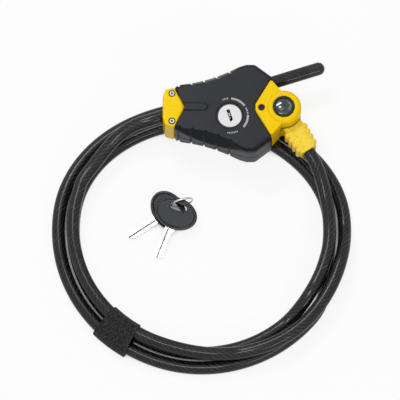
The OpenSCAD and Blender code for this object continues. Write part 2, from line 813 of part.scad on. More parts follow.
module plug_clip() {
    color("slategray")
        translate([0, 0, clip_z])
            difference() {
                cylinder(h = clip_t, r = clip_r);
                translate([0, 0, -1]) cylinder(h = 4, r = neck_r + drive_gap);
                translate([0, -2.5, -1]) cube([10, 5, 4]);
            }
}

// The cam lifts the wedge's arm evenly: its reach grows by the same amount for each degree.
module release_cam() {
    rate = ramp_rise / 90;
    slope = rate * 180 / PI;
    color("darkkhaki")
        translate([0, 0, cam_z]) channel_frame()
            difference() {
                linear_extrude(cam_t)
                    hull() {
                        circle(r = cam_r);
                        polygon(concat([[0, 0]], [for (a = [0 : 7.5 : 90])
                            let (h = cam_r + rate * a)
                            [h * cos(a) - slope * sin(a), h * sin(a) + slope * cos(a)]]));
                    }
                rotate(-channel_a) translate([-drive / 2 - drive_gap, -drive / 2 - drive_gap, -1])
                    cube([drive + 2 * drive_gap, drive + 2 * drive_gap, cam_t + 2]);
            }
}

module cam_screw() {
    color("silver")
        translate([0, 0, screw_z]) {
            difference() {
                cylinder(h = cam_z - screw_z - drive_gap, r = cam_screw_head_r);
                translate([-cam_screw_head_r - 0.2, -cam_screw_slot / 2, -eps])
                    cube([2 * cam_screw_head_r + 0.4, cam_screw_slot, 0.6]);
            }
            translate([0, 0, 0.5]) cylinder(h = cam_z - screw_z + 3, r = cam_screw_r);
        }
}

module bezel_ring() {
    color("black")
        translate([0, 0, head_z])
            difference() {
                cylinder(h = body_t - head_z - 0.5, r = bezel_r);
                translate([0, 0, -1]) cylinder(h = 9, r = plug_face_r + 0.15);
            }
}

// ---- wedge and saddle ----
module wedge() {
    count = floor(wedge_l / 1.5);
    step = wedge_l / count;
    teeth = [for (i = [0 : count - 1]) each [[wedge_from + i * step, jaw_m - tooth],
                                            [wedge_from + (i + 1) * step - eps, jaw_m]]];
    color("lightslategray")
        channel_frame() {
            translate([0, 0, mid_z - wedge_h / 2]) linear_extrude(wedge_h)
                polygon(concat([[wedge_from, ramp_m(wedge_from)]], teeth,
                               [[wedge_to, ramp_m(wedge_to)]]));
            translate([0, 0, cam_z]) linear_extrude(cam_t) polygon(arm_outline);
            translate([0, 0, cam_z]) linear_extrude(mid_z - cam_z)
                polygon([[wedge_from, ramp_m(wedge_from)], [wedge_from, jaw_m - tooth],
                         [wedge_from + 6, jaw_m - tooth],
                         [wedge_from + 6, ramp_m(wedge_from + 6)]]);
        }
}

module wedge_spring() {
    color("lightsteelblue")
        channel_frame() translate([spring_from, spring_m, mid_z]) rotate([0, 90, 0])
            spring(spring_r, 0.4, spring_to - spring_from, spring_turns);
}

module cable_saddle() {
    color("slategray")
        channel_frame()
            intersection() {
                along_t() translate([0, 0, saddle_from])
                    difference() {
                        cylinder(h = saddle_to - saddle_from, r = saddle_r);
                        translate([0, 0, -1]) cylinder(h = big, r = bore_r);
                    }
                translate([0, channel_off + saddle_lift, 0]) cube([big / 4, 20, big / 4]);
            }
}

// ---- swivel, boot and badge ----
module swivel_pin() {
    color("silver") boss_frame() translate([0, 0, 4]) cylinder(h = body_t - 8, r = swivel_r);
}

module cable_eye() {
    color("gray")
        boot_frame()
            difference() {
                union() {
                    translate([0, 0, -eye_t / 2]) cylinder(h = eye_t, r = eye_r);
                    translate([4, -eye_w / 2, -eye_t / 2]) cube([boss_r - 2, eye_w, eye_t]);
                    rotate([0, 90, 0]) translate([0, 0, boss_r + boot_gap + 1])
                        cylinder(h = boot_reach - 9 - boss_r - boot_gap, r = cable_d / 2 + 0.25);
                }
                translate([0, 0, -eye_t]) cylinder(h = 2 * eye_t, r = swivel_r + 0.08);
            }
}

// Section of the boot: a box with rounded corners, given its half width and half height.
module boot_section(half, high) {
    r = 2.5;
    for (y = [-1, 1], z = [-1, 1]) translate([0, y * (half - r), z * (high - r)])
        rotate([0, 90, 0]) cylinder(h = 0.5, r = r, $fn = 24);
}

module boot() {
    near = boss_r + boot_gap;
    pitch = (boot_reach - near - 3) / boot_ribs;
    color("gold")
        boot_frame()
            difference() {
                union() {
                    hull() {
                        translate([near - 4, 0, 0]) boot_section(boot_half, boot_high);
                        translate([boot_reach - 0.5, 0, 0]) boot_section(boot_end_half, boot_end_high);
                    }
                    for (i = [0 : boot_ribs - 1], s = [-1, 1]) {
                        u = near + 2.4 + (i + 0.3) * pitch;
                        out = boot_half + (boot_end_half - boot_half) * (i + 0.5) / boot_ribs;
                        translate([u, s * out, 0]) {
                            translate([0, 0, -boot_rib_high])
                                cylinder(h = 2 * boot_rib_high, r = boot_rib_r, $fn = 32);
                            for (z = [-1, 1]) translate([0, 0, z * boot_rib_high])
                                sphere(r = boot_rib_r, $fn = 32);
                        }
                    }
                }
                translate([0, 0, -20]) cylinder(h = 40, r = near, $fn = 96);
                rotate([0, 90, 0]) cylinder(h = boot_reach - 7.9, r = cable_d / 2 + 0.35);
                translate([0, -eye_w / 2 - 0.1, -eye_t / 2 - 0.1])
                    cube([near + 2.6, eye_w + 0.2, eye_t + 0.2]);
                rotate([0, 90, 0]) cylinder(h = boot_reach - 2.5, r = cable_d / 2 - 0.6);
            }
}

module badge_ring() {
    notches = 16;
    color("black")
        boss_frame() translate([0, 0, boss_top - badge_d])
            difference() {
                cylinder(h = badge_d + 0.6, r = badge_r);
                translate([0, 0, 0.4]) cylinder(h = 5, r = badge_r - 1.6);
                for (i = [0 : notches - 1]) rotate(360 * i / notches)
                    translate([badge_r + 0.2, 0, badge_d]) cylinder(h = 3, r = 0.55, $fn = 24);
            }
}

module badge_dome() {
    dome_r = badge_r - 1.65;
    rise = 1;
    ball = (dome_r * dome_r + rise * rise) / (2 * rise);
    color("darkslategray")
        boss_frame() translate([0, 0, boss_top - badge_d + 0.45])
            intersection() {
                cylinder(h = 5, r = dome_r);
                translate([0, 0, rise + 0.8 - ball]) sphere(r = ball, $fn = 96);
            }
}

// ---- cable ----
module cable_lead() { color("#26262a") tube(lead_path, cable_d / 2, 10, floor_z); }
module cable_coil() { color("#26262a") tube(coil_path, cable_d / 2, 6, floor_z); }
module cable_run_in() { color("#26262a") tube(run_in_path, cable_d / 2, 10, floor_z); }

module cable_tail() {
    color("#26262a") channel_bore(cable_d / 2, tail_from, tail_reach - tip_l);
}
module tail_tip() {
    r = cable_d / 2;
    color("black") {
        channel_bore(r, tail_reach - tip_l, tail_reach - r);
        channel_frame() along_t() translate([0, 0, tail_reach - r]) sphere(r = r);
    }
}

// ---- strap ----
// Section of the strands inside the strap, as circles in the coil's own section plane.
module strap_section(grow) {
    sag = coil_r * (1 - cos(coil_step / 2));
    hull()
        for (a = [strap_at, strap_at + 360, strap_at + 720]) {
            p = coil_point(a);
            r = norm([p[0], p[1]] - coil_c);
            for (s = [0, sag]) translate([r - s, p[2]]) circle(r = cable_d / 2 + grow, $fn = 48);
        }
}

module strap() {
    turn = strap_w / coil_r * 180 / PI;
    flap = 4;
    color("#1b1b1d")
        translate([coil_c[0], coil_c[1], 0]) rotate(90 - strap_at - turn / 2)
            difference() {
                rotate_extrude(angle = turn, $fn = 96)
                    difference() {
                        union() {
                            intersection() {
                                strap_section(0.2 + strap_t);
                                translate([0, floor_z]) square([big, big]);
                            }
                            intersection() {
                                strap_section(0.2 + 2 * strap_t);
                                translate([coil_r - 14, floor_z + rest_h + stack]) square([24, 20]);
                            }
                        }
                        strap_section(0.2);
                    }
                translate([0, 0, floor_z - flap]) cylinder(h = flap, r = big);
            }
}

// ---- keys ----
// A key's frame: x along the blade from the ring's wire, level with the underside of its head.
module key_frame(dir, tilt, lift) {
    translate([ring_at[0], ring_at[1], floor_z + lift]) rotate(dir) rotate([0, tilt, 0])
        children();
}

// The head's outline, drawn in by an inset.
module head_outline(inset) {
    scale([(key_head_h - 2 * inset) / (key_head_w - 2 * inset), 1])
        circle(d = key_head_w - 2 * inset, $fn = 72);
}

module key_head(slot) {
    rim = 2;
    free = 0.05;
    translate([slot[0] + key_slot_x, slot[1], 0])
        difference() {
            linear_extrude(key_head_t) head_outline(0);
            for (z = [-eps, key_head_t - key_dish]) translate([0, 0, z])
                linear_extrude(key_dish + eps) head_outline(rim);
            translate([-key_slot_x, 0, -1]) linear_extrude(9)
                hull() for (s = [-1, 1])
                    translate([0, s * (key_slot_l - key_slot_w) / 2]) circle(d = key_slot_w);
            translate([2, -tang_half - free, (key_head_t - tang_t) / 2 - free])
                cube([key_head_h, 2 * (tang_half + free), tang_t + 2 * free]);
            translate([blade_root, -key_blade_w / 2 - free, (key_head_t - key_blade_t) / 2 - free])
                cube([key_head_h, key_blade_w + 2 * free, key_blade_t + 2 * free]);
        }
}

module key_blade(slot, cuts, side) {
    to = key_head_h / 2 + key_blade_l;
    half = key_blade_w / 2;
    step = (key_blade_l - 7) / len(cuts);
    bitting = [for (i = [0 : len(cuts) - 1])
        let (x = to - 5 - i * step) each [[x, -half + cuts[i]], [x - step * 0.5, -half + cuts[i]]]];
    translate([slot[0] + key_slot_x, slot[1], key_head_t / 2 - key_blade_t / 2])
        mirror([0, side < 0 ? 1 : 0, 0])
            difference() {
                union() {
                    linear_extrude(key_blade_t)
                        polygon(concat([[blade_root + 0.05, -half], [blade_root + 0.05, half],
                                        [to - 3, half], [to, half - 2.6],
                                        [to - 2.5, -half + 0.4]], bitting,
                                       [[key_head_h / 2 + 1, -half]]));
                    translate([2.1, -tang_half, (key_blade_t - tang_t) / 2])
                        cube([blade_root, 2 * tang_half, tang_t]);
                }
                for (z = [-eps, key_blade_t - 0.5])
                    translate([key_head_h / 2 + 0.5, half - 3.2, z])
                        cube([key_blade_l + 5, 1, 0.5 + eps]);
            }
}

key_cuts = [1.6, 0.7, 2, 1.1, 1.4];
module key_a() { key_frame(key_a_dir, key_a_tilt, key_a_lift) children(); }
module key_b() { key_frame(key_b_dir, key_b_tilt, key_b_lift) children(); }
module key_a_head() { color("#222226") key_a() key_head(key_a_slot); }
module key_b_head() { color("#222226") key_b() key_head(key_b_slot); }
module key_a_blade() { color("silver") key_a() key_blade(key_a_slot, key_cuts, -1); }
module key_b_blade() { color("silver") key_b() key_blade(key_b_slot, key_cuts, 1); }

// The ring stands on the floor and passes through both heads.
module key_ring() {
    color("lightgray")
        translate([ring_at[0], ring_at[1], floor_z + ring_r + ring_wire / 2]) rotate(ring_dir)
            translate([ring_r - 1.5, 0, 0]) rotate([90, 0, 0])
                rotate_extrude($fn = 64) translate([ring_r, 0]) circle(r = ring_wire / 2, $fn = 24);
}

core_front();
core_rear();
jacket_front();
jacket_rear();
cap_rivets();
body_screw();
cylinder_body();
bezel_ring();
driver_pins();
pin_springs();
cable_saddle();
wedge_spring();
swivel_pin();
badge_ring();
badge_dome();
plug();
key_pins();
plug_clip();
release_cam();
cam_screw();
wedge();
cable_eye();
boot();
cable_lead();
cable_coil();
cable_run_in();
strap();
cable_tail();
tail_tip();
key_ring();
key_a_head();
key_a_blade();
key_b_head();
key_b_blade();
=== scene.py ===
import json
import math
import bmesh
import bpy
from mathutils import Matrix, Vector


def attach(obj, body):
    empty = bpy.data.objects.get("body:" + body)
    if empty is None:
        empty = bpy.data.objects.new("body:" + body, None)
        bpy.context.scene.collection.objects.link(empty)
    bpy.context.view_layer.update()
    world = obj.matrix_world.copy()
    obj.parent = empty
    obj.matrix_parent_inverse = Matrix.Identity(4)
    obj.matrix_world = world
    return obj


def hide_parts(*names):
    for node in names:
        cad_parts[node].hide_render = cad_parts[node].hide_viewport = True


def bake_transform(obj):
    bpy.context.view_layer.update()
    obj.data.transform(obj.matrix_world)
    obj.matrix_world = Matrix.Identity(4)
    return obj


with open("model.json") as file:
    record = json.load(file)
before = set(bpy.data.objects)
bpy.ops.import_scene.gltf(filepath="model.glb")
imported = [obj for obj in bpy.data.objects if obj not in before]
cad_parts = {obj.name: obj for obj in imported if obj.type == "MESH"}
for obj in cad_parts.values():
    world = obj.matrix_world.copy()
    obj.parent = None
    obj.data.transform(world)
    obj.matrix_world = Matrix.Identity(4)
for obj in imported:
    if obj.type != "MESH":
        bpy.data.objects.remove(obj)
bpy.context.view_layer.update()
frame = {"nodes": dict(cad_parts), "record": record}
MM = 0.001


# ---- sizes shared with the CAD source, in millimetres ----
BODY_T, CENTRE_Y, MID_Z = 32.0, 6.8, 16.0
END_TOP = BODY_T - 0.9
CABLE_D = 9.5
REST_H = CABLE_D * 0.4
FLOOR_Z = -(REST_H + CABLE_D / 2 + 0.05)
LANE, STACK = CABLE_D + 1.4, CABLE_D + 0.65
COIL_C, COIL_R, DRAW_IN = (-20.5, -75.0), 98.7, 10.8
COIL_FROM, COIL_TO = 105, 1005
STRAP_AT, STRAP_T, STRAP_W = 217.5, 1.2, 25.0
CHANNEL_A, CHANNEL_OFF = math.radians(17.8), 19.4
MOUTH_T = -48.7 / math.cos(CHANNEL_A) + 6.4
TAIL_REACH, TIP_L = 79.0, 12.0
BOSS, BOOT_A, BOOT_REACH = (39.1, CENTRE_Y), math.radians(-58), 34.5
RIVET_X, RIVET_PITCH = 41.9, 21.0
BOOT_NEAR, BOOT_HALF, BOOT_END_HALF, BOOT_RIBS, BOOT_RIB_R = 13.5, 7.6, 6.4, 4, 2.0
KEYS_AT = (-41, -57.7)

# ---- sizes of this scene alone ----
TUBE_SIDES = 36
COIL_STEP = 2.5           # degrees between the points of the coil
LEAD_EASING = 40          # passes that ease the lead's bends
TICK_R, TICK_HALF_W = 13.1, 0.27
STRAP_STEPS, STRAP_COLS = 150, 14
LAMPS_LOOK_AT = (-0.02, -0.05, 0)
CAMERA_LENS, CAMERA_FAR, CAMERA_TILT = 369.9, 3.0, 73
CAMERA_AT = (-21.6, -51.5)


def smooth(t):
    c = min(1.0, max(0.0, t))
    return c * c * (3 - 2 * c)


def over(a, lo, hi):
    return smooth((a - lo) / (hi - lo))


def wrapped(a):
    m = a % 360
    return m - 360 if m > 180 else m


def coil_point(a):
    """A point of the coil's centre line, as in part.scad."""
    lane = -0.5 + over(a, 455, 490) - over(a, 850, 920)
    layer = 1 - over(a, 118, 142) + over(a, 806, 828)
    p = wrapped(a)
    drawn = -DRAW_IN * (1 - (smooth((p - 30) / 56) if p > 0 else smooth((-p - 12) / 70)))
    u = LANE * lane
    nest = math.sqrt(STACK ** 2 - (LANE / 2 - min(LANE / 2, abs(u))) ** 2)
    lift = (STRAP_T + 0.2) * (1 - smooth((abs(wrapped(a - STRAP_AT)) - 7.5) / 30))
    r, t = COIL_R + drawn + u, math.radians(a)
    return Vector((COIL_C[0] + r * math.sin(t), COIL_C[1] + r * math.cos(t),
                   FLOOR_Z + REST_H + layer * nest + lift))


def in_channel(t, m):
    c, s = math.cos(CHANNEL_A), math.sin(CHANNEL_A)
    return Vector((t * c - m * s, t * s + m * c, MID_Z))


CHANNEL_DIR = Vector((math.cos(CHANNEL_A), math.sin(CHANNEL_A), 0))
BOOT_DIR = Vector((math.cos(BOOT_A), math.sin(BOOT_A), 0))


def through(points, step=4.0):
    """A smooth line through the points, by centripetal Catmull-Rom, with a point every step."""
    pts = [2 * points[0] - points[1]] + list(points) + [2 * points[-1] - points[-2]]
    out = []
    for i in range(1, len(pts) - 2):
        p0, p1, p2, p3 = pts[i - 1:i + 3]
        t0 = 0.0
        t1 = t0 + (p1 - p0).length ** 0.5
        t2 = t1 + (p2 - p1).length ** 0.5
        t3 = t2 + (p3 - p2).length ** 0.5
        n = max(1, round((p2 - p1).length / step))
        for k in range(n):
            t = t1 + (t2 - t1) * k / n
            a1 = p0 * ((t1 - t) / (t1 - t0)) + p1 * ((t - t0) / (t1 - t0))
            a2 = p1 * ((t2 - t) / (t2 - t1)) + p2 * ((t - t1) / (t2 - t1))
            a3 = p2 * ((t3 - t) / (t3 - t2)) + p3 * ((t - t2) / (t3 - t2))
            b1 = a1 * ((t2 - t) / (t2 - t0)) + a2 * ((t - t0) / (t2 - t0))
            b2 = a2 * ((t3 - t) / (t3 - t1)) + a3 * ((t - t1) / (t3 - t1))
            out.append(b1 * ((t2 - t) / (t2 - t1)) + b2 * ((t - t1) / (t2 - t1)))
    out.append(Vector(points[-1]))
    return out


def relaxed(path, passes):
    """The path with its sharper turns eased, and its ends and their directions kept."""
    path, last = list(path), len(path) - 1
    for _ in range(passes):
        inner = [path[i].lerp((path[i - 1] + path[i + 1]) / 2, min(1, i / 9, (last - i) / 9) / 2)
                 for i in range(1, last)]
        path = path[:1] + inner + path[-1:]
    return path


def line_length(path):
    return sum((b - a).length for a, b in zip(path, path[1:]))


# ---- mesh helpers ----
def new_object(name, verts, faces, material, uvs):
    mesh = bpy.data.meshes.new(name)
    mesh.from_pydata([tuple(v) for v in verts], [], faces)
    layer = mesh.uv_layers.new(name="UVMap")
    for poly in mesh.polygons:
        for li, co in zip(poly.loop_indices, uvs[poly.index]):
            layer.data[li].uv = co
    mesh.materials.append(material)
    for poly in mesh.polygons:
        poly.use_smooth = True
    mesh.validate()
    mesh.update()
    obj = bpy.data.objects.new(name, mesh)
    bpy.context.scene.collection.objects.link(obj)
    return obj


def tube(name, path, radius, material, lowest=None, start=0.0, before=None, after=None,
         sides=TUBE_SIDES):
    """A round tube along a path, in millimetres, with UVs: u along it, v round it, in metres.

    lowest flattens it against the floor, start is the length that went before it, and before and
    after are the next points of the tubes that it meets, so that their ends match.
    """
    rings, outward, lengths, total = [], [], [], start
    line = [before or path[0], *path, after or path[-1]]
    for i, p in enumerate(path):
        a, b = line[i], line[i + 2]
        d = (b - a).normalized()
        side = d.cross(Vector((0, 0, 1))).normalized()
        up = side.cross(d)
        if i:
            total += (p - path[i - 1]).length
        lengths.append(total)
        ring = []
        for k in range(sides):
            t = 2 * math.pi * k / sides
            outward.append(math.cos(t) * side + math.sin(t) * up)
            q = p + radius * outward[-1]
            if lowest is not None:
                q.z = max(q.z, lowest)
            ring.append(q * MM)
        rings.append(ring)
    verts = [q for ring in rings for q in ring]
    faces, uvs = [], []
    girth = 2 * math.pi * radius * MM
    for i in range(len(path) - 1):
        for k in range(sides):
            n = (k + 1) % sides
            faces.append((i * sides + k, (i + 1) * sides + k, (i + 1) * sides + n, i * sides + n))
            u0, u1 = lengths[i] * MM, lengths[i + 1] * MM
            v0, v1 = girth * k / sides, girth * (k + 1) / sides
            uvs.append(((u0, v0), (u1, v0), (u1, v1), (u0, v1)))
    faces.append(tuple(range(sides)))
    uvs.append([(0, 0)] * sides)
    last = (len(path) - 1) * sides
    faces.append(tuple(last + k for k in reversed(range(sides))))
    uvs.append([(0, 0)] * sides)
    obj = new_object(name, verts, faces, material, uvs)
    mesh = obj.data
    normals = [outward[loop.vertex_index] for loop in mesh.loops]
    for cap in list(mesh.polygons)[-2:]:
        for i in cap.loop_indices:
            normals[i] = cap.normal.copy()
    mesh.normals_split_custom_set(normals)
    return obj


# ---- node helpers ----
class Nodes:
    """A short way to build a material: m = Nodes("name"); m.add(type, inputs..., props...)."""

    def __init__(self, name):
        self.mat = bpy.data.materials.new(name)
        self.mat.use_nodes = True
        self.tree = self.mat.node_tree
        self.tree.nodes.clear()
        self.out = self.tree.nodes.new("ShaderNodeOutputMaterial")

    def add(self, kind, inputs=None, **props):
        node = self.tree.nodes.new("ShaderNode" + kind)
        for key, value in props.items():
            setattr(node, key, value)
        for key, value in (inputs or {}).items():
            socket = node.inputs[key]
            if isinstance(value, bpy.types.NodeSocket):
                self.tree.links.new(value, socket)
            else:
                socket.default_value = value
        return node

    def math(self, op, a, b=0.0, c=0.0):
        return self.add("Math", {0: a, 1: b, 2: c}, operation=op).outputs[0]

    def ramp(self, fac, stops):
        node = self.add("ValToRGB", {"Fac": fac})
        ramp = node.color_ramp
        while len(ramp.elements) < len(stops):
            ramp.elements.new(0.5)
        for e, (pos, col) in zip(ramp.elements, stops):
            e.position = pos
            e.color = (*col, 1) if len(col) == 3 else col
        return node.outputs[0]

    def noise(self, scale, detail=2.0, rough=0.5, coord=None, out="Fac"):
        vec = coord if coord is not None else self.obj()
        return self.add("TexNoise", {"Vector": vec, "Scale": scale, "Detail": detail,
                                     "Roughness": rough}).outputs[out]

    def obj(self):
        return self.add("TexCoord").outputs["Object"]

    def uv(self):
        return self.add("UVMap", uv_map="UVMap").outputs["UV"]

    def bump(self, height, strength, distance, normal=None):
        inputs = {"Height": height, "Strength": strength, "Distance": distance}
        if normal is not None:
            inputs["Normal"] = normal
        return self.add("Bump", inputs).outputs[0]

    def mix(self, fac, a, b):
        node = self.add("Mix", {0: fac}, data_type="RGBA")
        for key, value in ((6, a), (7, b)):
            if isinstance(value, bpy.types.NodeSocket):
                self.tree.links.new(value, node.inputs[key])
            else:
                node.inputs[key].default_value = (*value, 1)
        return node.outputs[2]

    def finish(self, **inputs):
        keys = {"base": "Base Color", "rough": "Roughness", "metal": "Metallic", "normal": "Normal",
                "coat": "Coat Weight", "coat_rough": "Coat Roughness", "spec": "Specular IOR Level",
                "sheen": "Sheen Weight", "sheen_rough": "Sheen Roughness"}
        shader = self.add("BsdfPrincipled")
        for key, value in inputs.items():
            socket = shader.inputs[keys[key]]
            if isinstance(value, bpy.types.NodeSocket):
                self.tree.links.new(value, socket)
            elif key == "base":
                socket.default_value = (*value, 1)
            else:
                socket.default_value = value
        self.tree.links.new(shader.outputs[0], self.out.inputs[0])
        return self.mat


def moulded(name, base, rough, grain=0.03, grain_scale=1800, vary=0.06, coat=0.0, spec=0.5):
    """Moulded plastic: a fine grain, slow unevenness and slightly varied gloss."""
    m = Nodes(name)
    slow = m.noise(45, 3)
    dark = tuple(c * (1 - vary) for c in base)
    light = tuple(min(1, c * (1 + vary)) for c in base)
    fine = m.noise(grain_scale, 2)
    n = m.bump(slow, 0.04, 0.001)
    n = m.bump(fine, grain, 0.0002, n)
    r = m.math("MULTIPLY_ADD", m.noise(120, 3), 0.12, rough - 0.06)
    return m.finish(base=m.mix(slow, dark, light), rough=r, normal=n, coat=coat, coat_rough=0.1,
                    spec=spec)


def metal(name, base, rough, brushed=0.0, scale=(1, 1, 1), spread=0.18):
    """Metal with fine scratches along one way and a little tarnish."""
    m = Nodes(name)
    vec = m.add("Mapping", {"Vector": m.obj(), "Scale": scale}).outputs[0]
    lines = m.noise(900, 4, 0.7, vec)
    slow = m.noise(90, 3)
    n = m.bump(lines, brushed, 0.0001)
    r = m.math("MULTIPLY_ADD", lines, spread, rough - spread / 2)
    dark = tuple(c * 0.82 for c in base)
    return m.finish(base=m.mix(slow, dark, base), rough=r, metal=1.0, normal=n)


# ---- materials ----
def cable_material():
    """Clear black vinyl over twisted steel strands: strands show faintly under a glossy skin."""
    m = Nodes("cable_vinyl")
    uv = m.add("SeparateXYZ", {"Vector": m.uv()})
    girth = math.pi * CABLE_D * MM
    turn = m.math("DIVIDE", uv.outputs[1], girth)
    along = uv.outputs[0]
    lay = m.math("ADD", m.math("MULTIPLY", turn, 9.0), m.math("MULTIPLY", along, 230.0))
    fine = m.math("SUBTRACT", m.math("MULTIPLY", turn, 24.0), m.math("MULTIPLY", along, 640.0))
    strand = m.math("MULTIPLY_ADD", m.math("SINE", m.math("MULTIPLY", lay, 2 * math.pi)), 0.5, 0.5)
    wires = m.math("MULTIPLY_ADD", m.math("SINE", m.math("MULTIPLY", fine, 2 * math.pi)), 0.5, 0.5)
    patches = m.noise(160, 3, 0.6)
    shine = m.math("MULTIPLY", m.math("MULTIPLY", strand, m.math("MULTIPLY_ADD", wires, 0.6, 0.4)),
                   m.math("MULTIPLY_ADD", patches, 1.4, -0.1))
    base = m.ramp(shine, [(0.05, (0.003, 0.003, 0.003)), (0.4, (0.010, 0.010, 0.011)),
                          (0.85, (0.085, 0.085, 0.088))])
    n = m.bump(m.math("MULTIPLY_ADD", wires, 0.3, strand), 0.10, 0.0003)
    return m.finish(base=base, rough=0.42, normal=n, coat=0.42, coat_rough=0.16, spec=0.10)


def strap_material():
    """Woven hook-and-loop tape: a close weave under a fuzz of loops."""
    m = Nodes("strap_web")
    uv = m.uv()
    fuzz = m.noise(2200, 4, 0.75)
    clumps = m.noise(750, 4, 0.7)
    weave = m.add("TexBrick", {"Vector": uv, "Scale": 1.0, "Mortar Size": 0.00012,
                               "Brick Width": 0.0016, "Row Height": 0.0008}).outputs["Fac"]
    h = m.math("ADD", m.math("MULTIPLY", clumps, 0.8), m.math("MULTIPLY", fuzz, 0.5))
    n = m.bump(weave, 0.3, 0.0002)
    n = m.bump(h, 0.75, 0.0009, n)
    mottle = m.math("MULTIPLY_ADD", fuzz, 0.5, m.math("MULTIPLY", clumps, 0.6))
    base = m.ramp(mottle, [(0.42, (0.003, 0.003, 0.003)), (0.55, (0.011, 0.011, 0.012)),
                           (0.72, (0.085, 0.085, 0.09))])
    return m.finish(base=base, rough=0.9, normal=n, sheen=0.15, sheen_rough=0.5, spec=0.15)


def grip_material():
    """Dark grey grip plastic, with painted shade: darker where its rims roll over."""
    m = Nodes("grey_grip")
    slow = m.noise(45, 3)
    up = m.add("SeparateXYZ", {"Vector": m.add("NewGeometry").outputs["Normal"]}).outputs[2]
    # painted shade: the colour darkens where the surface leans between flat and upright, as on the
    # rolled rims
    painted_roll_shade = m.ramp(m.math("ABSOLUTE", up), [(0.22, (0, 0, 0)), (0.5, (1, 1, 1)), (0.8, (1, 1, 1)),
                                          (0.97, (0, 0, 0))])
    plain = m.mix(slow, (0.014, 0.016, 0.021), (0.019, 0.0215, 0.028))
    n = m.bump(slow, 0.04, 0.001)
    n = m.bump(m.noise(1800, 2), 0.07, 0.0002, n)
    r = m.math("MULTIPLY_ADD", m.noise(120, 3), 0.12, 0.36)
    return m.finish(base=m.mix(painted_roll_shade, plain, (0.003, 0.003, 0.005)), rough=r, normal=n, spec=0.18)


def dome_material():
    """Dark glass over a dim ground with painted reflection: cloudy green and grey patches."""
    m = Nodes("dark_dome")
    painted_reflection_cloud = m.noise(260, 3, 0.5)
    # painted reflection: green and grey clouds in the colour stand in for what the dome mirrors
    base = m.ramp(painted_reflection_cloud, [(0.38, (0.004, 0.005, 0.005)), (0.5, (0.02, 0.034, 0.026)),
                          (0.62, (0.11, 0.14, 0.12))])
    return m.finish(base=base, rough=0.08, coat=0.6, coat_rough=0.03)


MAT = {
    "yellow_core": moulded("yellow_core", (0.90, 0.60, 0.0), 0.3, grain=0.02, spec=0.12),
    "yellow_boot": moulded("yellow_boot", (0.90, 0.645, 0.04), 0.36, grain=0.03, spec=0.3),
    "grey_grip": grip_material(),
    "black_trim": moulded("black_trim", (0.005, 0.005, 0.006), 0.25, coat=0.1, spec=0.3),
    "tip_plastic": moulded("tip_plastic", (0.007, 0.007, 0.008), 0.3, coat=0.2, spec=0.3),
    "key_head_black": moulded("key_head_black", (0.006, 0.007, 0.010), 0.26, grain=0.05, coat=0.1,
                              spec=0.22),
    "dark_dome": dome_material(),
    "bright_plug": metal("bright_plug", (0.76, 0.76, 0.765), 0.16, 0.06, (1, 8, 1), 0.08),
    "zinc": metal("zinc", (0.40, 0.40, 0.41), 0.32, 0.05),
    "pin_brass": metal("pin_brass", (0.75, 0.56, 0.26), 0.3, 0.04),
    "spring_steel": metal("spring_steel", (0.68, 0.69, 0.71), 0.24, 0.04),
    "dark_screw": metal("dark_screw", (0.035, 0.03, 0.026), 0.45, 0.05),
    "key_nickel": metal("key_nickel", (0.54, 0.54, 0.52), 0.17, 0.06, (6, 1, 1), 0.08),
    "cable_vinyl": cable_material(),
    "strap_web": strap_material(),
}
MAT["white_print"] = moulded("white_print", (0.6, 0.6, 0.6), 0.5, spec=0.2)
# painted shade: a dark, dull metal for the insides of deep grooves and the keyway, where shade falls
MAT["dark_painted_shade"] = metal("dark_painted_shade", (0.09, 0.09, 0.088), 0.5)
SLOT = {s["node"]: s["material_slot"] for s in frame["record"]["subparts"]}
for name, obj in frame["nodes"].items():
    for s in obj.material_slots:
        s.material = MAT[SLOT[name]]


# ---- moulded pieces with rounded edges ----
def rounded(name, node, body, voxel, passes, keep, added=None):
    """A copy of a CAD piece with softened edges, as a moulding has; voxel in millimetres."""
    mesh = frame["nodes"][node].data.copy()
    if added:
        form = bmesh.new()
        form.from_mesh(mesh)
        added(form)
        form.to_mesh(mesh)
        form.free()
    work = bpy.data.objects.new(name + "_work", mesh)
    bpy.context.scene.collection.objects.link(work)
    remesh = work.modifiers.new("remesh", "REMESH")
    remesh.mode = "VOXEL"
    remesh.voxel_size = voxel * MM
    soften = work.modifiers.new("soften", "SMOOTH")
    soften.factor, soften.iterations = 0.5, passes
    thin = work.modifiers.new("thin", "DECIMATE")
    thin.ratio = keep
    made = work.evaluated_get(bpy.context.evaluated_depsgraph_get())
    mesh = bpy.data.meshes.new_from_object(made)
    bpy.data.objects.remove(work)
    mesh.name = name
    mesh.materials.clear()
    mesh.materials.append(MAT[SLOT[node]])
    for poly in mesh.polygons:
        poly.use_smooth = True
    obj = bpy.data.objects.new(name, mesh)
    bpy.context.scene.collection.objects.link(obj)
    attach(obj, body)
    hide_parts(node)
    return obj


def boot_lobes(form):
    """The ribs' ends, which bend from the boot's sides over onto its top and bottom."""
    place = Matrix.Translation(Vector((*BOSS, MID_Z)) * MM) @ Matrix.Rotation(BOOT_A, 4, "Z")
    pitch = (BOOT_REACH - BOOT_NEAR - 3) / BOOT_RIBS
    for i in range(BOOT_RIBS):
        u = BOOT_NEAR + 2.4 + (i + 0.3) * pitch
        out = BOOT_HALF + (BOOT_END_HALF - BOOT_HALF) * (i + 0.5) / BOOT_RIBS
        high = 7.2 - 0.9 * (u - 9.5) / (BOOT_REACH - 10)
        for side in (-1, 1):
            for face in (-1, 1):
                a = Vector((u, side * out, face * 4.6))
                b = Vector((u, side * 3.6, face * (high - 1.0)))
                for k in range(7):
                    at = place @ Matrix.Translation(a.lerp(b, k / 6) * MM)
                    bmesh.ops.create_icosphere(form, subdivisions=3, radius=BOOT_RIB_R * MM,
                                               matrix=at)


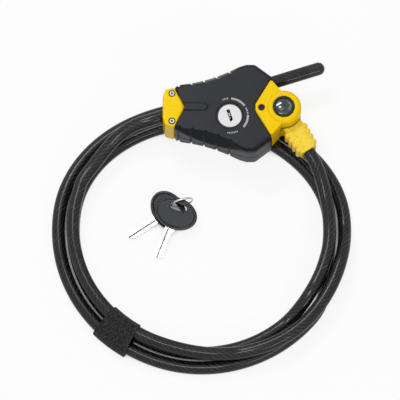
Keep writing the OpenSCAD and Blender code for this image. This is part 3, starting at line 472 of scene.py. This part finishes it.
MOULDED = {
    "grip_front": ("jacket_front", "lock_body", 0.4, 8, 0.3),
    "grip_rear": ("jacket_rear", "lock_body", 0.4, 8, 0.3),
    "end_front": ("core_front", "lock_body", 0.4, 6, 0.3),
    "end_rear": ("core_rear", "lock_body", 0.4, 6, 0.3),
    "relief": ("boot", "boot", 0.3, 5, 0.4, boot_lobes),
    "head_a": ("key_a_head", "key_a", 0.2, 8, 0.4),
    "head_b": ("key_b_head", "key_b", 0.2, 8, 0.4),
}
for name, args in MOULDED.items():
    rounded(name, *args)


# ---- small pieces on the faces ----
def prism(form, outline, low, high):
    """A closed prism over an outline of (x, y) points, in millimetres."""
    bottom = [form.verts.new((x * MM, y * MM, low * MM)) for x, y in outline]
    top = [form.verts.new((x * MM, y * MM, high * MM)) for x, y in outline]
    form.faces.new(list(reversed(bottom)))
    form.faces.new(top)
    for i in range(len(outline)):
        j = (i + 1) % len(outline)
        form.faces.new((bottom[i], bottom[j], top[j], top[i]))


def piece(name, form, material, body="lock_body"):
    mesh = bpy.data.meshes.new(name)
    form.to_mesh(mesh)
    form.free()
    mesh.materials.append(material)
    obj = bpy.data.objects.new(name, mesh)
    bpy.context.scene.collection.objects.link(obj)
    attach(obj, body)
    return obj


def dial_marks():
    """Plain printed ticks round the plug, long ones where the key stops."""
    form = bmesh.new()
    for first, last, step, long in ((112, 97, 5, 1.0), (84, 34, 3.6, 1.5), (26, 6, 5, 1.0),
                                    (0, -42, 3.6, 1.5), (-66, -100, 5, 1.0)):
        for i in range(int((first - last) / step) + 1):
            a = math.radians(first - i * step)
            d, n = (math.cos(a), math.sin(a)), (-math.sin(a), math.cos(a))
            half = TICK_HALF_W
            corners = [(TICK_R + r, w) for r, w in ((-long / 2, -half), (long / 2, -half),
                                                    (long / 2, half), (-long / 2, half))]
            prism(form, [(r * d[0] + w * n[0], r * d[1] + w * n[1]) for r, w in corners],
                  BODY_T - 0.1, BODY_T + 0.03)
    return piece("dial_marks", form, MAT["white_print"])


def ring_points(centre, radius, sides, turn=0.0):
    return [(centre[0] + radius * math.cos(turn + 2 * math.pi * k / sides),
             centre[1] + radius * math.sin(turn + 2 * math.pi * k / sides)) for k in range(sides)]


def rivet_socket_shades():
    """A black hexagon in each rivet's head: painted shade for its deep socket."""
    form = bmesh.new()
    for s in (-1, 1):
        prism(form, ring_points((-RIVET_X, CENTRE_Y + s * RIVET_PITCH / 2), 0.86, 6, 0.4),
              END_TOP - 0.66, END_TOP - 0.45)
    return piece("rivet_socket_shades", form, MAT["black_trim"])


def flat_ring(form, centre, inner, outer, low, high, sides=40):
    """A washer between two heights."""
    rows = [[form.verts.new((x * MM, y * MM, z * MM)) for x, y in ring_points(centre, r, sides)]
            for r, z in ((inner, low), (outer, low), (outer, high), (inner, high))]
    for k in range(4):
        a, b = rows[k], rows[(k + 1) % 4]
        for i in range(sides):
            j = (i + 1) % sides
            form.faces.new((a[i], a[j], b[j], b[i]))
    bmesh.ops.recalc_face_normals(form, faces=form.faces[:])


def rivet_rim_shadows():
    """A dark ring of painted shadow round each rivet's bright middle, where its recess lies in shade.
    """
    form = bmesh.new()
    for s in (-1, 1):
        flat_ring(form, (-RIVET_X, CENTRE_Y + s * RIVET_PITCH / 2), 1.7, 2.44,
                  END_TOP - 0.6, END_TOP - 0.12)
    return piece("rivet_rim_shadows", form, MAT["black_trim"])


def keyway_wards():
    """Ribs that stand into the keyway from both sides, as the keyway's profile has; dark as painted
    shade.
    """
    form = bmesh.new()
    c, s = math.cos(CHANNEL_A), math.sin(CHANNEL_A)
    for near, far, low, high in ((-1.3, -0.4, 1.4, 2.0), (0.35, 1.3, -0.5, 0.3),
                                 (-1.3, -0.5, -2.9, -2.2)):
        box = [(near, low), (far, low), (far, high), (near, high)]
        prism(form, [(x * c - y * s, x * s + y * c) for x, y in box], 20, BODY_T - 0.5)
    # the wards are dark as painted shade in the deep keyway
    return piece("keyway_wards", form, MAT["dark_painted_shade"], "plug")


dial_marks()
rivet_socket_shades()
rivet_rim_shadows()
keyway_wards()


# ---- key blades ----
# turn and tilt in degrees, lift, slot and side of each key
KEY_FRAMES = {"a": (-112.0, 11.0, 7.9, (0.3, 4.2), -1), "b": (-146.8, 3.0, 2.1, (-0.5, 0.6), 1)}


def blade_with_groove_shade(which):
    """A copy of a key's blade whose milled grooves are dull and painted dark inside, as shade there."""
    turn, tilt, lift, slot, side = KEY_FRAMES[which]
    place = (Matrix.Translation(Vector((*KEYS_AT, FLOOR_Z + lift)) * MM)
             @ Matrix.Rotation(math.radians(turn), 4, "Z") @ Matrix.Rotation(math.radians(tilt), 4, "Y")
             @ Matrix.Translation(Vector((slot[0] + 5, slot[1], 0.35)) * MM)
             @ Matrix.Diagonal((1, side, 1, 1)))
    back = place.inverted()
    source = frame["nodes"][f"key_{which}_blade"]
    mesh = source.data.copy()
    mesh.name = f"blade_{which}"
    mesh.materials.clear()
    mesh.materials.append(MAT["key_nickel"])
    mesh.materials.append(MAT["dark_painted_shade"])
    for poly in mesh.polygons:
        at = back @ (source.matrix_world @ poly.center) / MM
        # the groove faces get painted shade
        if 12.3 < at.x and 0.45 < at.y < 1.55 and 0.4 < at.z < 1.75:
            poly.material_index = 1
    obj = bpy.data.objects.new(f"blade_{which}", mesh)
    bpy.context.scene.collection.objects.link(obj)
    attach(obj, f"key_{which}")
    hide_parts(f"key_{which}_blade")


blade_with_groove_shade("a")
blade_with_groove_shade("b")

# ---- cable ----
LEAD_ROUTE = [(65, -35, 11.5), (69, -47, 7.5), (71.8, -60, 5.3), (72.9, -75, 5.1)]
RUN_IN_ROUTE = [(-99, -29.5, 6), (-84, -11.5, 9.5), (-71, -2.5, 13.5)]
boot_exit = Vector((*BOSS, MID_Z)) + BOOT_REACH * BOOT_DIR
coil = [coil_point(COIL_FROM + i * COIL_STEP)
        for i in range(int((COIL_TO - COIL_FROM) / COIL_STEP) + 1)]
start_dir = (coil[1] - coil[0]).normalized()
end_dir = (coil[-1] - coil[-2]).normalized()
lead = through([boot_exit + 0.05 * BOOT_DIR, boot_exit + CABLE_D * BOOT_DIR]
               + [Vector(p) for p in LEAD_ROUTE] + [coil[0] - CABLE_D * start_dir, coil[0]], 3)
lead = relaxed(lead, LEAD_EASING)
entry = in_channel(MOUTH_T, CHANNEL_OFF)
run_in = through([coil[-1], coil[-1] + CABLE_D * end_dir] + [Vector(p) for p in RUN_IN_ROUTE]
                 + [entry - 12 * CHANNEL_DIR, entry, entry + 10 * CHANNEL_DIR], 3)
main = coil + run_in[1:]
tail_from = in_channel(MOUTH_T + 10.3, CHANNEL_OFF)
tail_to = in_channel(TAIL_REACH - TIP_L, CHANNEL_OFF)
tail = [tail_from.lerp(tail_to, i / 16) for i in range(17)]

vinyl = MAT["cable_vinyl"]
lead_obj = tube("lead", lead, CABLE_D / 2, vinyl, lowest=FLOOR_Z, after=main[1])
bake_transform(lead_obj)
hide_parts("cable_lead")
main_obj = tube("cable", main, CABLE_D / 2, vinyl, lowest=FLOOR_Z, start=line_length(lead),
                before=lead[-2])
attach(main_obj, "lock_body")
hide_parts("cable_coil", "cable_run_in")
tail_obj = tube("free_end", tail, CABLE_D / 2, vinyl)
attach(tail_obj, "cable_end")
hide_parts("cable_tail")


# ---- strap ----
def strap_piece():
    """A band round the three strands, with its end lapped over the top and lifted a little."""
    centres = []
    for a in (STRAP_AT, STRAP_AT + 360, STRAP_AT + 720):
        p = coil_point(a)
        r = math.hypot(p.x - COIL_C[0], p.y - COIL_C[1])
        centres.append((r, p.z))
    rad = CABLE_D / 2

    def around(deg, off):
        t = math.radians(deg)
        n = (math.cos(t), math.sin(t))
        c = max(centres, key=lambda q: q[0] * n[0] + q[1] * n[1])
        lowest = FLOOR_Z + max(0.0, off - 0.25)
        return c[0] + (rad + off) * n[0], max(c[1] + (rad + off) * n[1], lowest)

    # the strip starts on top, goes round outside and under, and laps over its start
    first, last = 60.0, 60.0 - 360 - 105
    n = STRAP_STEPS
    inner, outer = [], []
    for i in range(n + 1):
        t = first + (last - first) * i / n
        lap = smooth((i / n - 0.70) / 0.07)
        lift = 1.6 * smooth((i / n - 0.93) / 0.07)
        base = 0.25 + lap * (STRAP_T * 0.9 + 0.08) + lift
        inner.append(around(t, base))
        outer.append(around(t, base + STRAP_T * 0.82))
    cols = STRAP_COLS
    half = STRAP_W / COIL_R / 2
    verts, faces, uvs = [], [], []
    loop = [(inner, i) for i in range(n + 1)] + [(outer, i) for i in reversed(range(n + 1))]
    m = len(loop)
    dist = [0.0]
    for (ra, ia), (rb, ib) in zip(loop, loop[1:] + loop[:1]):
        dist.append(dist[-1] + math.hypot(ra[ia][0] - rb[ib][0], ra[ia][1] - rb[ib][1]))
    for c in range(cols + 1):
        s = -half + 2 * half * c / cols
        for ring, i in loop:
            r, z = ring[i]
            wave = 0.00035 * math.sin(i * 0.55 + c * 0.9) * (1 - abs(2 * c / cols - 1) * 0.3)
            t = math.radians(STRAP_AT) + s + wave * 4
            verts.append((MM * (COIL_C[0] + r * math.sin(t)), MM * (COIL_C[1] + r * math.cos(t)),
                          MM * z))
    for c in range(cols):
        for k in range(m):
            j = (k + 1) % m
            faces.append((c * m + k, (c + 1) * m + k, (c + 1) * m + j, c * m + j))
            u0, u1 = dist[k] * MM, dist[k + 1] * MM
            v0, v1 = STRAP_W * MM * c / cols, STRAP_W * MM * (c + 1) / cols
            uvs.append(((u0, v0), (u0, v1), (u1, v1), (u1, v0)))
    for c, flip in ((0, True), (cols, False)):
        for k in range(n):
            q = (c * m + k, c * m + k + 1, c * m + m - 2 - k, c * m + m - 1 - k)
            faces.append(tuple(reversed(q)) if flip else q)
            uvs.append([(0, 0)] * 4)
    return new_object("strap_band", verts, faces, MAT["strap_web"], uvs)


strap = strap_piece()
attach(strap, "lock_body")
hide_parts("strap")

# ---- stage, light and camera ----
def stage():
    mesh = bpy.data.meshes.new("floor")
    s, z = 3.0, (FLOOR_Z - 0.02) * MM
    mesh.from_pydata([(-s, -s, z), (s, -s, z), (s, s, z), (-s, s, z)], [], [(0, 1, 2, 3)])
    floor = bpy.data.objects.new("floor", mesh)
    bpy.context.scene.collection.objects.link(floor)
    m = Nodes("floor")
    path = m.add("LightPath")
    # painted shade: the floor's white glow is darkened by ambient occlusion between and under the
    # strands and parts
    open_to = m.add("AmbientOcclusion", {"Distance": 0.014}, samples=8)
    shade = m.ramp(open_to.outputs["AO"], [(0.10, (0.01, 0.01, 0.01)), (0.42, (1, 1, 1))])
    diffuse = m.add("BsdfDiffuse", {"Color": (0.86, 0.86, 0.86, 1)})
    white = m.add("Emission", {"Color": shade, "Strength": 1.0})
    grey = m.add("BsdfDiffuse", {"Color": (0.5, 0.5, 0.5, 1)})
    seen = m.add("MixShader", {0: 0.86, 1: diffuse.outputs[0], 2: white.outputs[0]})
    straight = m.math("MAXIMUM", path.outputs["Is Camera Ray"], path.outputs["Is Glossy Ray"])
    straight = m.math("MAXIMUM", straight, path.outputs["Is Transmission Ray"])
    mix = m.add("MixShader", {0: straight, 1: grey.outputs[0], 2: seen.outputs[0]})
    m.tree.links.new(mix.outputs[0], m.out.inputs[0])
    mesh.materials.append(m.mat)

    world = bpy.data.worlds.new("studio")
    bpy.context.scene.world = world
    world.use_nodes = True
    t = world.node_tree
    t.nodes.clear()
    path = t.nodes.new("ShaderNodeLightPath")
    fill = t.nodes.new("ShaderNodeBackground")
    fill.inputs[0].default_value = (1, 1, 1, 1)
    fill.inputs[1].default_value = 0.48
    seen = t.nodes.new("ShaderNodeBackground")
    seen.inputs[0].default_value = (1, 1, 1, 1)
    seen.inputs[1].default_value = 1.0
    either = path.outputs["Is Camera Ray"]
    for kind in ("Is Glossy Ray", "Is Transmission Ray"):
        most = t.nodes.new("ShaderNodeMath")
        most.operation = "MAXIMUM"
        t.links.new(either, most.inputs[0])
        t.links.new(path.outputs[kind], most.inputs[1])
        either = most.outputs[0]
    mix = t.nodes.new("ShaderNodeMixShader")
    out = t.nodes.new("ShaderNodeOutputWorld")
    t.links.new(either, mix.inputs[0])
    t.links.new(fill.outputs[0], mix.inputs[1])
    t.links.new(seen.outputs[0], mix.inputs[2])
    t.links.new(mix.outputs[0], out.inputs[0])

    def area(name, at, size, power):
        light = bpy.data.lights.new(name, "AREA")
        light.shape = "RECTANGLE"
        light.size, light.size_y = size
        light.energy = power
        obj = bpy.data.objects.new(name, light)
        obj.location = at
        obj.rotation_euler = (Vector(LAMPS_LOOK_AT) - Vector(at)).to_track_quat("-Z", "Y").to_euler()
        bpy.context.scene.collection.objects.link(obj)

    area("key", (-0.3, 0.5, 0.9), (0.4, 0.14), 2.8)
    area("top", (-0.21, 0.25, 0.93), (0.14, 0.14), 0.8)
    area("crest", (-0.14, -0.30, 1.05), (0.5, 0.08), 2.6)
    area("front", (0.45, -0.8, 0.55), (0.3, 0.1), 1.2)


stage()
camera = bpy.data.cameras.new("camera")
camera.lens, camera.sensor_width = CAMERA_LENS, 36.0
camera.clip_end = 20
cam = bpy.data.objects.new("camera", camera)
bpy.context.scene.collection.objects.link(cam)
tilt = math.radians(CAMERA_TILT)
target = Vector((*CAMERA_AT, FLOOR_Z)) * MM
cam.location = target + CAMERA_FAR * Vector((0, -math.cos(tilt), math.sin(tilt)))
cam.rotation_euler = (math.pi / 2 - tilt, 0, 0)
bpy.context.scene.camera = cam
bpy.context.scene.view_settings.view_transform = "Standard"
